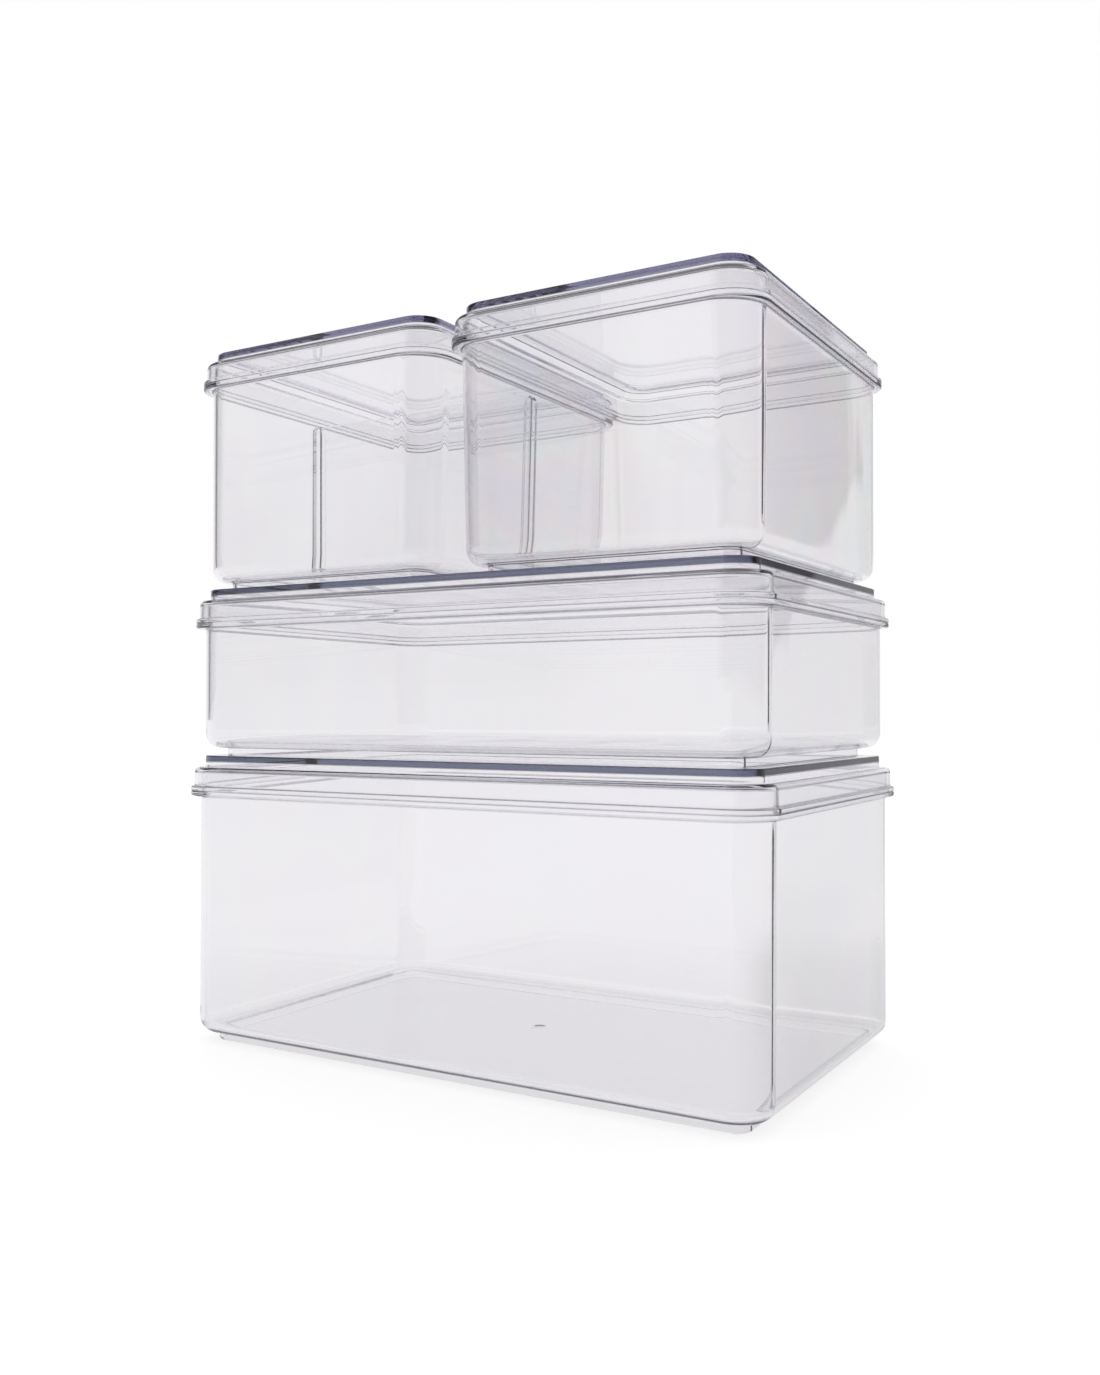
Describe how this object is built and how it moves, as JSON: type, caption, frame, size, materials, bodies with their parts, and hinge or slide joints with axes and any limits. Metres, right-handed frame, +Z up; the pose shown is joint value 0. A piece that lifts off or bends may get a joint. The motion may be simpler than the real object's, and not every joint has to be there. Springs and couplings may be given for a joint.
{
  "type": "fridge bin",
  "caption": "Stack of clear plastic fridge bins with lift-off lids: a deep tub, a shallow tub and half-length tubs side by side on top, one with a removable divider.",
  "frame": {"origin": "centre of the stack's footprint, on the plane the foot ring stands on", "axes": "+X along the long side, towards the tub without a divider; +Y towards the back; +Z up"},
  "size_m": [0.3236, 0.2002, 0.358],
  "materials": {
    "tub_plastic": "clear moulded plastic, gloss",
    "lid_plastic": "clear moulded plastic, gloss",
    "divider_plastic": "clear moulded plastic, gloss"
  },
  "bodies": {
    "large_tub": {"large_tub": "tub_plastic"},
    "large_lid": {"large_lid": "lid_plastic"},
    "medium_tub": {"medium_tub": "tub_plastic"},
    "medium_lid": {"medium_lid": "lid_plastic"},
    "small_tub_left": {"small_tub_left": "tub_plastic"},
    "divider": {"divider": "divider_plastic"},
    "small_lid_left": {"small_lid_left": "lid_plastic"},
    "small_tub_right": {"small_tub_right": "tub_plastic"},
    "small_lid_right": {"small_lid_right": "lid_plastic"}
  },
  "joints": [
    {"name": "large_lid_lift", "type": "slide", "parent": "large_tub", "child": "large_lid", "axis": [0, 0, 1], "range_m": [0, 0.025]},
    {"name": "medium_tub_lift", "type": "slide", "parent": "large_lid", "child": "medium_tub", "axis": [0, 0, 1], "range_m": [0, 0.015]},
    {"name": "medium_lid_lift", "type": "slide", "parent": "medium_tub", "child": "medium_lid", "axis": [0, 0, 1], "range_m": [0, 0.025]},
    {"name": "left_tub_lift", "type": "slide", "parent": "medium_lid", "child": "small_tub_left", "axis": [0, 0, 1], "range_m": [0, 0.015]},
    {"name": "divider_pull", "type": "slide", "parent": "small_tub_left", "child": "divider", "axis": [0, 0, 1], "range_m": [0, 0.118]},
    {"name": "left_lid_lift", "type": "slide", "parent": "divider", "child": "small_lid_left", "axis": [0, 0, 1], "range_m": [0, 0.025]},
    {"name": "right_tub_lift", "type": "slide", "parent": "medium_lid", "child": "small_tub_right", "axis": [0, 0, 1], "range_m": [0, 0.015]},
    {"name": "right_lid_lift", "type": "slide", "parent": "small_tub_right", "child": "small_lid_right", "axis": [0, 0, 1], "range_m": [0, 0.025]}
  ]
}
